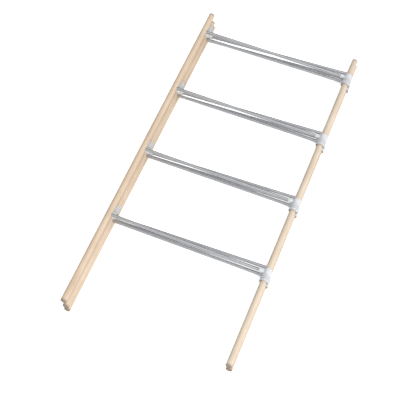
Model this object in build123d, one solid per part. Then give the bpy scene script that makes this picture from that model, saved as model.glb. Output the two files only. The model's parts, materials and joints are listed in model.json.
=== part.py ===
from build123d import *
import os
from math import sqrt

# A folding concertina clothes airer, lying folded: four panels of metal rungs between five wooden poles.
# X runs along the rungs, Y along the poles to their upper ends, Z up through the folded stack.
# Panel n is fixed in pole n and swings on pole n + 1. The last panel is fixed in both of its poles.

# Panels
panel_width = 530.0        # from pole axis to pole axis
rung_spacing = 261.0
rung_levels = 4
foot_length = 320.0        # from a pole's lower end to its lowest rung
head_length = 79.0         # from the highest rung to a pole's upper end
rung_step = 15.5           # how much higher the rungs of panels 2 and 4 sit than those of 1 and 3

# Poles
pole_count = 5
pole_diameter = 20.0
pole_end_rounding = 2.5
hole_depth = 14.0          # of the blind holes that take the fixed ends of the rungs

# Rungs
rung_diameter = 10.0
rung_wall = 0.8
seat_clearance = 0.05      # around a rung in its hole or socket, and inside a stop ring

# Swinging collars
collar_wall = 1.5
collar_clearance = 0.4     # around the pole that the collar turns on
end_float = 0.3            # between a collar and the fixed rung or stop ring beside it
spout_wall = 1.8
spout_length = 14.0        # beyond the collar's barrel
socket_floor = 1.3         # wall between a rung's end and the collar's bore
spout_rounding = 0.6

# Stop rings
ring_wall = 4.45           # from the bore to the tops of the ribs
ring_length = 24.0
rib_count = 3
rib_height = 1.2
ring_lip = 2.4             # plain band at each end of a ring
ring_edge = 0.8            # chamfer of a ring's outer edges
mouth_depth = 5.0          # of the wider mouth at the end that faces away from the collar
mouth_clearance = 2.2      # around the pole in that mouth

# Folded stack
left_gap = 1.0             # between the stop rings of pole 3 and pole 5 under them
right_gap = 0.6            # between the stop rings of poles 2 and 4
top_gap = 15.4             # between the stop rings of pole 3 and pole 1, which stays raised

pole_radius = pole_diameter / 2
ring_radius = pole_radius + seat_clearance + ring_wall
rung_radius = rung_diameter / 2
pole_length = foot_length + rung_spacing * (rung_levels - 1) + head_length
collar_bore = pole_radius + collar_clearance
collar_radius = collar_bore + collar_wall
collar_length = 2 * (rung_step - rung_radius - end_float)
spout_radius = rung_radius + seat_clearance + spout_wall

# Heights of the pole axes in the folded stack, from the surface up: odd poles are on one side, even on the other.
pole_z = {
    5: pole_radius,
    4: ring_radius,
}
pole_z[3] = pole_z[5] + pole_radius + left_gap + ring_radius
pole_z[2] = pole_z[4] + 2 * ring_radius + right_gap
pole_z[1] = pole_z[3] + ring_radius + top_gap + pole_radius

# Each panel keeps its width, so a pole's place across the stack follows from the pole before it.
pole_x = {5: 0.0}
for number in (4, 3, 2, 1):
    reach = sqrt(panel_width ** 2 - (pole_z[number] - pole_z[number + 1]) ** 2)
    side = 1 if number % 2 == 0 else -1
    pole_x[number] = pole_x[number + 1] + side * reach

# The origin is at the middle of the folded airer's box, on the surface that it lies on.
left_edge = min(pole_x[1] - pole_radius, pole_x[3] - ring_radius, pole_x[5] - pole_radius)
right_edge = max(pole_x[2], pole_x[4]) + ring_radius
middle_x = (left_edge + right_edge) / 2
for number in pole_x:
    pole_x[number] -= middle_x
foot_y = -pole_length / 2


def along_y(x, y, z):
    return Plane(origin=(x, y, z), z_dir=(0, 1, 0), x_dir=(1, 0, 0))


def rung_y(panel, level):
    step = rung_step if panel % 2 == 0 else 0.0
    return foot_y + foot_length + rung_spacing * (level - 1) + step


def rung_plane(panel, level):
    # Starts on the fixed pole's axis and points along the rung to the next pole's axis.
    start = Vector(pole_x[panel], rung_y(panel, level), pole_z[panel])
    end = Vector(pole_x[panel + 1], rung_y(panel, level), pole_z[panel + 1])
    return Plane(origin=start, z_dir=end - start, x_dir=(0, 1, 0))


def rod(radius, start, end):
    return Pos(0, 0, start) * Cylinder(radius, end - start, align=(Align.CENTER, Align.CENTER, Align.MIN))


# A fixed end reaches the floor of its hole; a swinging end stops in its collar's socket.
fixed_end = pole_radius - hole_depth
socket_end = panel_width - collar_bore - socket_floor
last_panel = pole_count - 1


def make_pole(number):
    pole = rod(pole_radius, 0, pole_length)
    pole = fillet(pole.edges().filter_by(GeomType.CIRCLE), pole_end_rounding)
    pole = along_y(pole_x[number], foot_y, pole_z[number]) * pole
    for level in range(1, rung_levels + 1):
        hole_radius = rung_radius + seat_clearance
        if number <= last_panel:
            pole -= rung_plane(number, level) * rod(hole_radius, fixed_end, 2 * pole_radius)
        else:
            far_hole = rod(hole_radius, panel_width - 2 * pole_radius, panel_width - fixed_end)
            pole -= rung_plane(last_panel, level) * far_hole
    return pole


def make_rung(panel, level):
    end = panel_width - fixed_end if panel == last_panel else socket_end
    tube = rod(rung_radius, fixed_end, end) - rod(rung_radius - rung_wall, fixed_end, end)
    return rung_plane(panel, level) * tube


def make_collar(panel, level):
    # A short barrel on the next pole, with a spout that holds the panel's rung.
    rung = rung_plane(panel, level)
    barrel_start = rung_y(panel, level) - collar_length / 2
    barrel_at = along_y(pole_x[panel + 1], barrel_start, pole_z[panel + 1])
    mouth = panel_width - collar_radius - spout_length
    spout = rod(spout_radius, mouth, panel_width - collar_bore)
    spout = fillet(spout.faces().sort_by(Axis.Z)[0].edges(), spout_rounding)
    barrel = rod(collar_radius, 0, collar_length)
    barrel = fillet(barrel.edges().filter_by(GeomType.CIRCLE), spout_rounding)
    collar = barrel_at * barrel + rung * spout
    collar -= barrel_at * rod(collar_bore, -1, collar_length + 1)
    collar -= rung * rod(rung_radius + seat_clearance, mouth - 1, socket_end)
    return collar


def make_stop_ring(pole, level):
    # Fixed on the pole on the far side of the collar from the fixed rung, and drawn from its end at the collar.
    collar_y = rung_y(pole - 1, level)
    side = -1 if rung_y(pole, level) > collar_y else 1
    near_end = collar_y + side * (collar_length / 2 + end_float)
    ring_at = Plane(origin=(pole_x[pole], near_end, pole_z[pole]), z_dir=(0, side, 0), x_dir=(1, 0, 0))
    bore = pole_radius + seat_clearance
    mouth = pole_radius + mouth_clearance
    mouth_floor = ring_length - mouth_depth
    shoulder = ring_radius - ring_edge
    root = ring_radius - rib_height
    last_rib = ring_length - ring_lip
    rib_pitch = (last_rib - ring_lip) / rib_count
    near_lip = [(bore, 0), (shoulder, 0), (ring_radius, ring_edge), (ring_radius, ring_lip), (root, ring_lip)]
    far_lip = [(root, last_rib), (ring_radius, last_rib), (ring_radius, ring_length - ring_edge)]
    inside = [(shoulder, ring_length), (mouth, ring_length), (mouth, mouth_floor), (bore, mouth_floor), (bore, 0)]
    outline = [Polyline(near_lip), Polyline(far_lip + inside)]
    for rib in range(rib_count):
        low = ring_lip + rib * rib_pitch
        outline.append(ThreePointArc((root, low), (ring_radius, low + rib_pitch / 2), (root, low + rib_pitch)))
    profile = Plane.XZ * make_face(Curve() + outline)
    return ring_at * revolve(profile, Axis.Z)


os.makedirs("parts", exist_ok=True)

for number in range(1, pole_count + 1):
    export_step(make_pole(number), f"parts/pole_{number}.step")

for level in range(1, rung_levels + 1):
    for panel in range(1, last_panel + 1):
        export_step(make_rung(panel, level), f"parts/panel_{panel}_rung_{level}.step")
    for pole in range(2, last_panel + 1):
        export_step(make_collar(pole - 1, level), f"parts/pole_{pole}_collar_{level}.step")
        export_step(make_stop_ring(pole, level), f"parts/pole_{pole}_stop_ring_{level}.step")
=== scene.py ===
import json
from functools import partial
from math import cos, pi, radians, sin

import bpy
from mathutils import Matrix, Vector


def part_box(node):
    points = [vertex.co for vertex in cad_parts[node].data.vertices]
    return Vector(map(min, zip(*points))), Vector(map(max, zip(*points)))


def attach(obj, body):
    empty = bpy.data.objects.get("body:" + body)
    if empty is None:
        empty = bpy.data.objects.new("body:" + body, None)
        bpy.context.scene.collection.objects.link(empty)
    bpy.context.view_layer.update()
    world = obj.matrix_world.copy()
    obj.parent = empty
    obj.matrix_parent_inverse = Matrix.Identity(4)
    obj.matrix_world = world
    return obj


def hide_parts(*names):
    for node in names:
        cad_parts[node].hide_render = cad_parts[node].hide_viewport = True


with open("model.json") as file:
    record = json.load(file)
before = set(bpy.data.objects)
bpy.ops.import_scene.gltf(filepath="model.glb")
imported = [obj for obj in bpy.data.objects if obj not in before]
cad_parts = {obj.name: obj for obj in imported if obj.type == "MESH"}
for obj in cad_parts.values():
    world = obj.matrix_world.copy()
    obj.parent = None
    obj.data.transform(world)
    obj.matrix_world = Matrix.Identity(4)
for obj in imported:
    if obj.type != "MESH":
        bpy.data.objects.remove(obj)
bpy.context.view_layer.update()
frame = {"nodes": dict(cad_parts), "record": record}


# Camera: above the lower ends of the folded airer and a little to the right, with a short telephoto lens,
# looking at a point just below the middle of the stack.
camera_turn = radians(28.1)
camera_height = radians(59.8)
camera_roll = radians(-6.49)
camera_distance = 2.971
focal_length = 83.9
film_width = 36.0
look_at = Vector((-0.0256, -0.1045, 0.0371))
away = Vector((
    sin(camera_turn) * cos(camera_height),
    -cos(camera_turn) * cos(camera_height),
    sin(camera_height),
))
lens = bpy.data.cameras.new("camera")
lens.sensor_width = film_width
lens.lens = focal_length
camera = bpy.data.objects.new("camera", lens)
aim = (-away).to_track_quat("-Z", "Y").to_matrix() @ Matrix.Rotation(camera_roll, 3, "Z")
camera.matrix_world = Matrix.Translation(look_at + away * camera_distance) @ aim.to_4x4()
bpy.context.collection.objects.link(camera)
bpy.context.scene.camera = camera


# Studio: a sheet of white paper as the floor, in a white room that falls off towards the left and the back,
# with a large soft lamp at the right front and a weak one overhead.
floor_size = 200.0
paper_white = (0.93, 0.93, 0.93, 1)
paper_roughness = 0.9
paper_shine = 0.1
paper_light = 0.12
paper_brightness = 0.62
white = (1, 1, 1, 1)
bright_side = Vector((0.55, -0.35, 0.76))
dark_end = -0.3
dark_end_light = 0.19


def set_inputs(node, **values):
    # Socket names have their spaces written as underscores.
    for name, value in values.items():
        node.inputs[name.replace("_", " ")].default_value = value


def add_material(name):
    material = bpy.data.materials.new(name)
    material.use_nodes = True
    return material, material.node_tree, material.node_tree.nodes["Principled BSDF"]


floor_mesh = bpy.data.meshes.new("floor")
half = floor_size / 2
floor_corners = [(-half, -half, 0), (half, -half, 0), (half, half, 0), (-half, half, 0)]
floor_mesh.from_pydata(floor_corners, [], [(0, 1, 2, 3)])
floor = bpy.data.objects.new("floor", floor_mesh)
bpy.context.collection.objects.link(floor)
paper, paper_tree, paper_shader = add_material("studio_paper")
set_inputs(paper_shader, Base_Color=paper_white, Roughness=paper_roughness, Specular_IOR_Level=paper_shine)
set_inputs(paper_shader, Emission_Color=white)
# The paper is brighter to the camera than the light that it throws up under the airer.
seen = paper_tree.nodes.new("ShaderNodeLightPath")
glow = paper_tree.nodes.new("ShaderNodeMapRange")
set_inputs(glow, To_Min=paper_light, To_Max=paper_brightness)
paper_tree.links.new(seen.outputs["Is Camera Ray"], glow.inputs["Value"])
paper_tree.links.new(glow.outputs["Result"], paper_shader.inputs["Emission Strength"])
floor_mesh.materials.append(paper)

room = bpy.data.worlds.new("room")
room.use_nodes = True
room_tree = room.node_tree
sky_way = room_tree.nodes.new("ShaderNodeTexCoord")
toward_bright = room_tree.nodes.new("ShaderNodeVectorMath")
toward_bright.operation = "DOT_PRODUCT"
toward_bright.inputs[1].default_value = bright_side
room_tone = room_tree.nodes.new("ShaderNodeMapRange")
set_inputs(room_tone, From_Min=dark_end, From_Max=1.0, To_Min=dark_end_light, To_Max=1.0)
room_tree.links.new(sky_way.outputs["Generated"], toward_bright.inputs[0])
room_tree.links.new(toward_bright.outputs["Value"], room_tone.inputs["Value"])
# The room's own wall is seen as bright as the paper, so that the floor has no horizon.
wall_light = room_tree.nodes.new("ShaderNodeLightPath")
wall_tone = room_tree.nodes.new("ShaderNodeMath")
wall_tone.operation = "MAXIMUM"
room_tree.links.new(room_tone.outputs["Result"], wall_tone.inputs[0])
room_tree.links.new(wall_light.outputs["Is Camera Ray"], wall_tone.inputs[1])
room_tree.links.new(wall_tone.outputs["Value"], room_tree.nodes["Background"].inputs["Strength"])
set_inputs(room_tree.nodes["Background"], Color=white)
bpy.context.scene.world = room
bpy.context.scene.view_settings.view_transform = "Standard"


def add_softbox(name, place, size, power):
    lamp = bpy.data.lights.new(name, "AREA")
    lamp.shape = "DISK"
    lamp.size = size
    lamp.energy = power
    softbox = bpy.data.objects.new(name, lamp)
    toward = (-Vector(place)).to_track_quat("-Z", "Y").to_matrix().to_4x4()
    softbox.matrix_world = Matrix.Translation(place) @ toward
    bpy.context.collection.objects.link(softbox)


add_softbox("key", place=(2.4, -1.7, 2.6), size=1.8, power=56)
add_softbox("fill", place=(0.3, 0.2, 3.4), size=2.5, power=8)


# Poles: five round poles of pale, lightly sealed softwood, turned from straight-grained stock.
# Their ends are rounded, and the last few millimetres at each end are darkened in patches: partly dirt that
# the end grain takes up where the airer stands on its feet, partly painted shade for the shaded end faces.
# A pattern that runs along the pole is drawn out: its scale that way is a small share of the scale across.
pole_tones = {
    "pole_1": (0.79, 0.640, 0.485),
    "pole_2": (0.80, 0.690, 0.560),
    "pole_3": (0.78, 0.640, 0.500),
    "pole_4": (0.78, 0.640, 0.495),
    "pole_5": (0.78, 0.640, 0.500),
}
late_wood_shade = (0.62, 0.50, 0.40)
year_width = 0.0021
pith_place = (0.012, 0, 0.017)
year_wander = 3.0
late_wood_sharpness = 3.0
wander_scale, wander_along = 90, 0.035
fibre_scale, fibre_along = 1400, 0.02
fibre_range = (0.45, 0.75)
fleck_scale, fleck_along = 420, 0.12
fleck_range = (0.16, 0.04)
cloud_scale = 7
cloud_range = (0.40, 0.65)
late_wood_strength = 0.30
fibre_strength = 0.22
fleck_strength = 0.25
cloud_strength = 0.22
end_dirt_and_shade_reach = 0.009
end_dirt_and_shade_scale = 900
end_dirt_and_shade_range = (-0.2, 0.6)
end_dirt_and_shade_strength = 0.85
end_dirt_and_shade_colour = (0.13, 0.100, 0.080, 1)
wood_roughness = 0.50
dark_wood_roughness = 0.25
end_dirt_and_shade_roughness = 0.2
wood_shine = 0.35
grain_relief = 0.0003
grain_relief_strength = 0.25
seed_step = 3.7
nodes = frame["nodes"]
record = frame["record"]
pole_names = sorted(name for name in nodes if name.startswith("pole_") and name.count("_") == 1)


def add_group(name, inputs, outputs):
    # A shader node group with named float, vector and colour sockets.
    group = bpy.data.node_groups.new(name, "ShaderNodeTree")
    for label, kind in inputs.items():
        group.interface.new_socket(label, in_out="INPUT", socket_type="NodeSocket" + kind)
    for label, kind in outputs.items():
        group.interface.new_socket(label, in_out="OUTPUT", socket_type="NodeSocket" + kind)
    return group, group.nodes.new("NodeGroupInput"), group.nodes.new("NodeGroupOutput")


def feed(tree, socket, value):
    # A value is either another node's output or a constant.
    if isinstance(value, bpy.types.NodeSocket):
        tree.links.new(value, socket)
    else:
        socket.default_value = value


def add_node(tree, kind, inputs=None, **settings):
    node = tree.nodes.new(kind)
    for name, value in settings.items():
        setattr(node, name, value)
    for name, value in (inputs or {}).items():
        feed(tree, node.inputs[name], value)
    return node


def calculate(tree, operation, *values):
    return add_node(tree, "ShaderNodeMath", dict(enumerate(values)), operation=operation).outputs["Value"]


def blend_colours(tree, amount, first, second):
    # A Mix node has sockets for each kind of data, and its colour ones are found by their type.
    node = add_node(tree, "ShaderNodeMix", {"Factor": amount}, data_type="RGBA")
    first_socket, second_socket = [socket for socket in node.inputs if socket.type == "RGBA"]
    feed(tree, first_socket, first)
    feed(tree, second_socket, second)
    return next(socket for socket in node.outputs if socket.type == "RGBA")


def ramp_between(tree, value, low, high):
    # 0 at low and 1 at high, and held there beyond them.
    inputs = {"Value": value, "From Min": low, "From Max": high}
    return add_node(tree, "ShaderNodeMapRange", inputs, clamp=True).outputs["Result"]


def draw_out(tree, position, x=1, y=1, z=1):
    return add_node(tree, "ShaderNodeMapping", {"Vector": position, "Scale": (x, y, z)}).outputs["Vector"]


def add_noise(tree, position, scale, detail, roughness=0.5, seed=None):
    inputs = {"Vector": position, "Scale": scale, "Detail": detail, "Roughness": roughness}
    if seed is None:
        return add_node(tree, "ShaderNodeTexNoise", inputs).outputs["Fac"]
    return add_node(tree, "ShaderNodeTexNoise", {**inputs, "W": seed}, noise_dimensions="4D").outputs["Fac"]


def put_out(tree, group_output, **values):
    for name, value in values.items():
        tree.links.new(value, group_output.inputs[name])


dowel, dowel_in, dowel_out = add_group(
    "dowel_grain",
    {"Position": "Vector", "Early Wood": "Color", "Late Wood": "Color", "Seed": "Float", "Ends": "Float"},
    {"Color": "Color", "Roughness": "Float", "Height": "Float"},
)
wood_math = partial(calculate, dowel)
wood_place, early_wood, late_wood_colour, seed, ends = dowel_in.outputs[:5]
wander_place = draw_out(dowel, wood_place, y=wander_along)
wander = add_noise(dowel, wander_place, wander_scale, detail=2, seed=seed)
pith_inputs = {"Vector": wood_place, "Location": pith_place, "Scale": (1, 0, 1)}
pith = add_node(dowel, "ShaderNodeMapping", pith_inputs).outputs["Vector"]
from_pith = add_node(dowel, "ShaderNodeVectorMath", {0: pith}, operation="LENGTH").outputs["Value"]
even_years = wood_math("DIVIDE", from_pith, year_width)
years = wood_math("ADD", even_years, wood_math("MULTIPLY", wander, year_wander))
late_wood = wood_math("POWER", wood_math("FRACT", years), late_wood_sharpness)
fibre = add_noise(dowel, draw_out(dowel, wood_place, y=fibre_along), fibre_scale, detail=3)
fleck_inputs = {"Vector": draw_out(dowel, wood_place, y=fleck_along), "Scale": fleck_scale}
fleck = add_node(dowel, "ShaderNodeTexVoronoi", fleck_inputs, feature="F1").outputs["Distance"]
cloud = add_noise(dowel, wood_place, cloud_scale, detail=2, seed=seed)
late_wood_amount = wood_math("MULTIPLY", late_wood, late_wood_strength)
fibre_amount = wood_math("MULTIPLY", ramp_between(dowel, fibre, *fibre_range), fibre_strength)
fleck_amount = wood_math("MULTIPLY", ramp_between(dowel, fleck, *fleck_range), fleck_strength)
cloud_amount = wood_math("MULTIPLY", ramp_between(dowel, cloud, *cloud_range), cloud_strength)
lines_amount = wood_math("ADD", late_wood_amount, fibre_amount)
dark_amount = wood_math("ADD", lines_amount, wood_math("ADD", fleck_amount, cloud_amount))
clean_colour = blend_colours(dowel, dark_amount, early_wood, late_wood_colour)
# Both ends of the pole are darkened in patches: end-grain dirt together with painted shade for the shaded end
# faces.
end_dirt_and_shade_patch = add_noise(dowel, wood_place, end_dirt_and_shade_scale, detail=4)
end_dirt_and_shade = wood_math("MULTIPLY", ends, ramp_between(dowel, end_dirt_and_shade_patch, *end_dirt_and_shade_range))
end_dirt_and_shade_cover = wood_math("MULTIPLY", end_dirt_and_shade, end_dirt_and_shade_strength)
clean_roughness = wood_math("ADD", wood_roughness, wood_math("MULTIPLY", dark_amount, dark_wood_roughness))
put_out(
    dowel, dowel_out,
    Color=blend_colours(dowel, end_dirt_and_shade_cover, clean_colour, end_dirt_and_shade_colour),
    Roughness=wood_math("ADD", clean_roughness, wood_math("MULTIPLY", end_dirt_and_shade, end_dirt_and_shade_roughness)),
    Height=wood_math("SUBTRACT", fibre, late_wood),
)


def finish_node(node_name, material):
    # The finish becomes the node's only material.
    mesh = nodes[node_name].data
    mesh.materials.clear()
    mesh.materials.append(material)


def roughen(tree, shader, height, strength, distance):
    inputs = {"Height": height, "Strength": strength, "Distance": distance}
    bump = add_node(tree, "ShaderNodeBump", inputs)
    tree.links.new(bump.outputs["Normal"], shader.inputs["Normal"])


def make_pole_wood(name, seed):
    # The grain is placed from the pole's own middle, so that it stays with the pole.
    low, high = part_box(name)
    half_length = (high.y - low.y) / 2
    material, tree, shader = add_material(name + "_wood")
    position = add_node(tree, "ShaderNodeTexCoord").outputs["Object"]
    to_middle = {"Vector": position, "Location": -(low + high) / 2}
    local = add_node(tree, "ShaderNodeMapping", to_middle).outputs["Vector"]
    reach = add_node(tree, "ShaderNodeSeparateXYZ", {"Vector": local}).outputs["Y"]
    from_middle = calculate(tree, "ABSOLUTE", reach)
    tone = pole_tones[name]
    grain_inputs = {
        "Position": local,
        "Early Wood": (*tone, 1),
        "Late Wood": (*(part * shade for part, shade in zip(tone, late_wood_shade)), 1),
        "Seed": seed,
        "Ends": ramp_between(tree, from_middle, half_length - end_dirt_and_shade_reach, half_length),
    }
    grain = add_node(tree, "ShaderNodeGroup", grain_inputs, node_tree=dowel)
    tree.links.new(grain.outputs["Color"], shader.inputs["Base Color"])
    tree.links.new(grain.outputs["Roughness"], shader.inputs["Roughness"])
    roughen(tree, shader, grain.outputs["Height"], grain_relief_strength, grain_relief)
    set_inputs(shader, Specular_IOR_Level=wood_shine)
    return material


for number, pole in enumerate(pole_names):
    finish_node(pole, make_pole_wood(pole, seed=seed_step * number))


# Rungs: sixteen thin drawn tubes of satin grey aluminium, pressed into blind holes in the poles.
# Drawing leaves fine lines along each tube, and laundry and hands leave it unevenly dulled.
tube_dark_line = (0.480, 0.490, 0.512, 1)
tube_bright_line = (0.610, 0.620, 0.642, 1)
tube_dulled = (0.47, 0.477, 0.49, 1)
tube_metallic = 0.95
tube_roughness = 0.20
dulled_roughness = 0.15
line_roughness = 0.08
line_scale, line_along = 1800, 0.02
line_range = (0.3, 0.7)
line_relief = 0.0001
line_relief_strength = 0.2
dulled_patch = 0.035
dulled_amount = 0.6
smudge_range = (0.42, 0.68)
specks_in_patch = 9.0
speck_range = (0.62, 0.75)
speck_strength = 0.5
marks, marks_in, marks_out = add_group(
    "handling_marks",
    {"Position": "Vector", "Patch Size": "Float", "Amount": "Float"},
    {"Mask": "Float", "Height": "Float"},
)
marks_math = partial(calculate, marks)
marks_place, patch_size, marks_amount = marks_in.outputs[:3]
patch_scale = marks_math("DIVIDE", 1.0, patch_size)
smudge = add_noise(marks, marks_place, patch_scale, detail=4, roughness=0.6)
speck = add_noise(marks, marks_place, marks_math("MULTIPLY", patch_scale, specks_in_patch), detail=2)
speck_amount = marks_math("MULTIPLY", ramp_between(marks, speck, *speck_range), speck_strength)
all_marks = marks_math("ADD", ramp_between(marks, smudge, *smudge_range), speck_amount)
put_out(
    marks, marks_out,
    Mask=marks_math("MULTIPLY", all_marks, marks_amount),
    Height=marks_math("SUBTRACT", smudge, speck),
)


def add_marks(tree, position, patch_size, amount):
    inputs = {"Position": position, "Patch Size": patch_size, "Amount": amount}
    return add_node(tree, "ShaderNodeGroup", inputs, node_tree=marks).outputs


def make_drawn_tube():
    material, tree, shader = add_material("drawn_tube")
    tube_math = partial(calculate, tree)
    position = add_node(tree, "ShaderNodeTexCoord").outputs["Object"]
    lines = add_noise(tree, draw_out(tree, position, x=line_along), line_scale, detail=3)
    dulling = add_marks(tree, position, dulled_patch, dulled_amount)["Mask"]
    clean = blend_colours(tree, ramp_between(tree, lines, *line_range), tube_dark_line, tube_bright_line)
    tree.links.new(blend_colours(tree, dulling, clean, tube_dulled), shader.inputs["Base Color"])
    rough = tube_math("ADD", tube_roughness, tube_math("MULTIPLY", dulling, dulled_roughness))
    rough = tube_math("ADD", rough, tube_math("MULTIPLY", lines, line_roughness))
    tree.links.new(rough, shader.inputs["Roughness"])
    roughen(tree, shader, lines, line_relief_strength, line_relief)
    set_inputs(shader, Metallic=tube_metallic)
    return material


drawn_tube = make_drawn_tube()
for name in nodes:
    if "_rung_" in name:
        finish_node(name, drawn_tube)


# Collars: twelve moulded joints in cool white plastic. A barrel turns on the pole, and a spout takes the
# rung's end. Each is moulded in two halves, which leaves a fine parting line level with the pole's axis.
plastic_white = (0.76, 0.785, 0.82, 1)
plastic_grime_and_shade = (0.25, 0.235, 0.225, 1)
plastic_roughness = 0.38
grime_and_shade_roughness = 0.25
scuff_size = 0.008
scuff_amount = 0.14
scuff_height = 0.3
plastic_relief = 0.0002
plastic_relief_strength = 0.3
parting_line = 0.00025
parting_grime = 0.6


def make_moulded_plastic(name, grime_and_shade_mask):
    # The mask given here is handed the tree, and says where the plastic is darkened: dirt in the collars'
    # parting lines, painted shade in the rings' grooves, edges and mouths.
    material, tree, shader = add_material(name)
    plastic_math = partial(calculate, tree)
    position = add_node(tree, "ShaderNodeTexCoord").outputs["Object"]
    scuffs = add_marks(tree, position, scuff_size, scuff_amount)
    # Scuffs are real wear; the mask adds parting-line dirt on the collars and painted shade on the rings.
    grime_and_shade = plastic_math("MAXIMUM", scuffs["Mask"], grime_and_shade_mask(tree))
    tree.links.new(blend_colours(tree, grime_and_shade, plastic_white, plastic_grime_and_shade), shader.inputs["Base Color"])
    rough = plastic_math("ADD", plastic_roughness, plastic_math("MULTIPLY", grime_and_shade, grime_and_shade_roughness))
    tree.links.new(rough, shader.inputs["Roughness"])
    relief = plastic_math("SUBTRACT", plastic_math("MULTIPLY", scuffs["Height"], scuff_height), grime_and_shade)
    roughen(tree, shader, relief, plastic_relief_strength, plastic_relief)
    return material


def make_collar_plastic(pole):
    low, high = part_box(pole)
    axis_height = (low.z + high.z) / 2

    def parting(tree):
        position = add_node(tree, "ShaderNodeTexCoord").outputs["Object"]
        height = add_node(tree, "ShaderNodeSeparateXYZ", {"Vector": position}).outputs["Z"]
        off_line = calculate(tree, "ABSOLUTE", calculate(tree, "SUBTRACT", height, axis_height))
        return calculate(tree, "MULTIPLY", ramp_between(tree, off_line, parting_line, 0.0), parting_grime)

    return make_moulded_plastic(pole + "_collar_plastic", parting)


hinge_poles = pole_names[1:-1]
for pole in hinge_poles:
    collar_plastic = make_collar_plastic(pole)
    for name in nodes:
        if name.startswith(pole + "_collar_"):
            finish_node(name, collar_plastic)


# Stop rings: twelve rings in the same white plastic, pushed tight onto the poles beside the collars.
# Each is turned about its pole: plain lips, half-round ribs between them, and a wider mouth at the end that
# faces away from the collar. Its grooves, rounded edges and mouth are darkened with painted shade.
ring_clearance = 0.00005
mouth_gap = 0.0022
mouth_depth = 0.005
ring_lip = 0.0024
ring_edge = 0.0008
rib_count = 3
rib_height = 0.0012
groove_painted_shade = 0.75
painted_shade_range = (0.05, 0.8)
points_along_wall = 81
sides_around = 64
crease_angle = radians(35)
joined_within = 1e-6
ring_tree = bpy.data.node_groups.new("ribbed_rings", "GeometryNodeTree")
ring_math = partial(calculate, ring_tree)
ring_sizes = {
    "Outer Radius": "Float", "Bore Radius": "Float", "Mouth Radius": "Float", "Mouth Depth": "Float",
    "Length": "Float", "Lip": "Float", "Edge": "Float", "Ribs": "Int", "Rib Height": "Float",
    "First Place": "Vector", "Spacing": "Vector", "Rings": "Int", "Turn": "Vector", "Plastic": "Material",
}
for label, kind in ring_sizes.items():
    ring_tree.interface.new_socket(label, in_out="INPUT", socket_type="NodeSocket" + kind)
ring_tree.interface.new_socket("Geometry", in_out="OUTPUT", socket_type="NodeSocketGeometry")
size_in = add_node(ring_tree, "NodeGroupInput").outputs
rings_out = add_node(ring_tree, "NodeGroupOutput")


def section_point(radius, height):
    # A point of the ring's section, out from the bore and along the ring.
    outwards = ring_math("SUBTRACT", radius, size_in["Bore Radius"])
    return add_node(ring_tree, "ShaderNodeCombineXYZ", {"X": outwards, "Y": height}).outputs["Vector"]


def section_line(start, end):
    ends = {"Start": start, "End": end}
    return add_node(ring_tree, "GeometryNodeCurvePrimitiveLine", ends).outputs["Curve"]


def hold_painted_shade(line, amount):
    # Says how much painted shade this part of the section gets, for the ring's finish.
    inputs = {"Geometry": line, "Name": "painted_shade", "Value": amount}
    stored = add_node(ring_tree, "GeometryNodeStoreNamedAttribute", inputs, data_type="FLOAT", domain="POINT")
    return stored.outputs["Geometry"]


length = size_in["Length"]
edge = size_in["Edge"]
lip = size_in["Lip"]
shoulder = ring_math("SUBTRACT", size_in["Outer Radius"], edge)
mouth_floor = ring_math("SUBTRACT", length, size_in["Mouth Depth"])

# The outer wall: ribs in the half waves of a sine between the lips, and a rounded edge at each end.
wall_start = section_point(size_in["Outer Radius"], 0.0)
wall_end = section_point(size_in["Outer Radius"], length)
wall_inputs = {"Curve": section_line(wall_start, wall_end), "Count": points_along_wall}
wall = add_node(ring_tree, "GeometryNodeResampleCurve", wall_inputs).outputs["Curve"]
wall_place = add_node(ring_tree, "GeometryNodeInputPosition").outputs["Position"]
along = add_node(ring_tree, "ShaderNodeSeparateXYZ", {"Vector": wall_place}).outputs["Y"]
from_end = ring_math("MINIMUM", along, ring_math("SUBTRACT", length, along))
rib_zone = ring_math("GREATER_THAN", from_end, lip)
rib_span = ring_math("SUBTRACT", length, ring_math("MULTIPLY", lip, 2.0))
ribs_passed = ring_math("MULTIPLY", ring_math("SUBTRACT", along, lip), size_in["Ribs"])
rib_phase = ring_math("DIVIDE", ribs_passed, rib_span)
ridge = ring_math("ABSOLUTE", ring_math("SINE", ring_math("MULTIPLY", rib_phase, pi)))
groove = ring_math("MULTIPLY", rib_zone, ring_math("SUBTRACT", 1.0, ridge))
into_edge = ring_math("MAXIMUM", 0.0, ring_math("SUBTRACT", 1.0, ring_math("DIVIDE", from_end, edge)))
edge_arc = ring_math("SQRT", ring_math("SUBTRACT", 1.0, ring_math("POWER", into_edge, 2.0)))
groove_inset = ring_math("MULTIPLY", groove, size_in["Rib Height"])
edge_inset = ring_math("MULTIPLY", ring_math("SUBTRACT", 1.0, edge_arc), edge)
outset = ring_math("MULTIPLY", ring_math("ADD", groove_inset, edge_inset), -1.0)
wall_move = add_node(ring_tree, "ShaderNodeCombineXYZ", {"X": outset}).outputs["Vector"]
move_inputs = {"Geometry": wall, "Offset": wall_move}
wall = add_node(ring_tree, "GeometryNodeSetPosition", move_inputs).outputs["Geometry"]
# The grooves between the ribs and the rounded edges are given painted shade.
wall = hold_painted_shade(wall, ring_math("MAXIMUM", ring_math("MULTIPLY", groove, groove_painted_shade), into_edge))

# The whole section, closed: collar end, wall, far end, mouth and bore.
bore_start = section_point(size_in["Bore Radius"], 0.0)
bore_end = section_point(size_in["Bore Radius"], mouth_floor)
mouth_end = section_point(size_in["Mouth Radius"], mouth_floor)
mouth_lip = section_point(size_in["Mouth Radius"], length)
section = add_node(ring_tree, "GeometryNodeJoinGeometry")
for piece in (
    section_line(bore_start, section_point(shoulder, 0.0)),
    wall,
    section_line(section_point(shoulder, length), mouth_lip),
    # The mouth is given full painted shade.
    hold_painted_shade(section_line(mouth_lip, mouth_end), 1.0),
    hold_painted_shade(section_line(mouth_end, bore_end), 1.0),
    section_line(bore_end, bore_start),
):
    ring_tree.links.new(piece, section.inputs["Geometry"])

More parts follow.
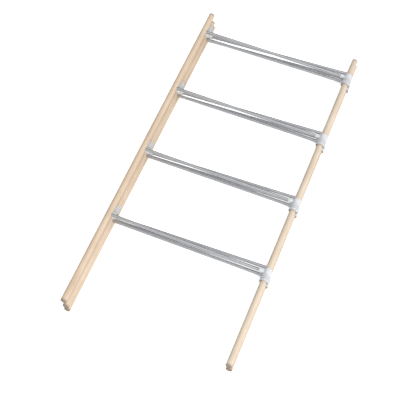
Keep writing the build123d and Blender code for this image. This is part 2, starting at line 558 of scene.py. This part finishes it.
# The section is swept round the bore, and the ring is set at each level of its pole.
path_inputs = {"Resolution": sides_around, "Radius": size_in["Bore Radius"]}
path = add_node(ring_tree, "GeometryNodeCurvePrimitiveCircle", path_inputs)
sweep_inputs = {"Curve": path.outputs["Curve"], "Profile Curve": section.outputs["Geometry"]}
ring = add_node(ring_tree, "GeometryNodeCurveToMesh", sweep_inputs)
merge_inputs = {"Geometry": ring.outputs["Mesh"], "Distance": joined_within}
ring = add_node(ring_tree, "GeometryNodeMergeByDistance", merge_inputs)
place_inputs = {
    "Count": size_in["Rings"], "Start Location": size_in["First Place"], "Offset": size_in["Spacing"],
}
places = add_node(ring_tree, "GeometryNodeMeshLine", place_inputs)
copy_inputs = {
    "Points": places.outputs["Mesh"], "Instance": ring.outputs["Geometry"], "Rotation": size_in["Turn"],
}
copies = add_node(ring_tree, "GeometryNodeInstanceOnPoints", copy_inputs)
solid = add_node(ring_tree, "GeometryNodeRealizeInstances", {"Geometry": copies.outputs["Instances"]})
smooth = add_node(ring_tree, "GeometryNodeSetShadeSmooth", {"Geometry": solid.outputs["Geometry"]})
edge_angle = add_node(ring_tree, "GeometryNodeInputMeshEdgeAngle").outputs["Unsigned Angle"]
crisp_inputs = {
    "Geometry": smooth.outputs["Geometry"],
    "Shade Smooth": False,
    "Selection": ring_math("GREATER_THAN", edge_angle, crease_angle),
}
crisp = add_node(ring_tree, "GeometryNodeSetShadeSmooth", crisp_inputs, domain="EDGE")
finish_inputs = {"Geometry": crisp.outputs["Geometry"], "Material": size_in["Plastic"]}
finished = add_node(ring_tree, "GeometryNodeSetMaterial", finish_inputs)
ring_tree.links.new(finished.outputs["Geometry"], rings_out.inputs["Geometry"])


def painted_ring_shade(tree):
    # The painted shade stored on the ring's section, for its grooves, edges and mouth.
    painted_shade = add_node(tree, "ShaderNodeAttribute", attribute_name="painted_shade").outputs["Fac"]
    return ramp_between(tree, painted_shade, *painted_shade_range)


ring_plastic = make_moulded_plastic("stop_ring_plastic", painted_ring_shade)


def make_stop_rings(pole):
    stems = sorted(name for name in nodes if name.startswith(pole + "_stop_ring_"))
    low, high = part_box(stems[0])
    next_low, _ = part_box(stems[1])
    collar_low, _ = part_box(pole + "_collar_1")
    pole_low, pole_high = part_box(pole)
    pole_radius = (pole_high.x - pole_low.x) / 2
    above_collar = low.y > collar_low.y
    collar_end = low.y if above_collar else high.y
    sizes = {
        "Outer Radius": (high.x - low.x) / 2, "Bore Radius": pole_radius + ring_clearance,
        "Mouth Radius": pole_radius + mouth_gap, "Mouth Depth": mouth_depth, "Length": high.y - low.y,
        "Lip": ring_lip, "Edge": ring_edge, "Ribs": rib_count, "Rib Height": rib_height,
        "First Place": ((low.x + high.x) / 2, collar_end, (low.z + high.z) / 2),
        "Spacing": (0, next_low.y - low.y, 0), "Rings": len(stems),
        "Turn": (pi / 2 if above_collar else -pi / 2, 0, 0), "Plastic": ring_plastic,
    }
    name = pole + "_stop_rings"
    maker = bpy.data.objects.new(name + "_maker", bpy.data.meshes.new(name + "_maker"))
    bpy.context.collection.objects.link(maker)
    modifier = maker.modifiers.new("ribbed_rings", "NODES")
    modifier.node_group = ring_tree
    for item in ring_tree.interface.items_tree:
        if item.in_out == "INPUT":
            modifier[item.identifier] = sizes[item.name]
    evaluated = maker.evaluated_get(bpy.context.evaluated_depsgraph_get())
    mesh = bpy.data.meshes.new_from_object(evaluated)
    mesh.name = name
    bpy.data.objects.remove(maker)
    rings = bpy.data.objects.new(name, mesh)
    bpy.context.collection.objects.link(rings)
    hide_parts(*stems)
    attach(rings, next(body for body, members in record["behaviour"]["bodies"].items() if pole in members))


for pole in hinge_poles:
    make_stop_rings(pole)
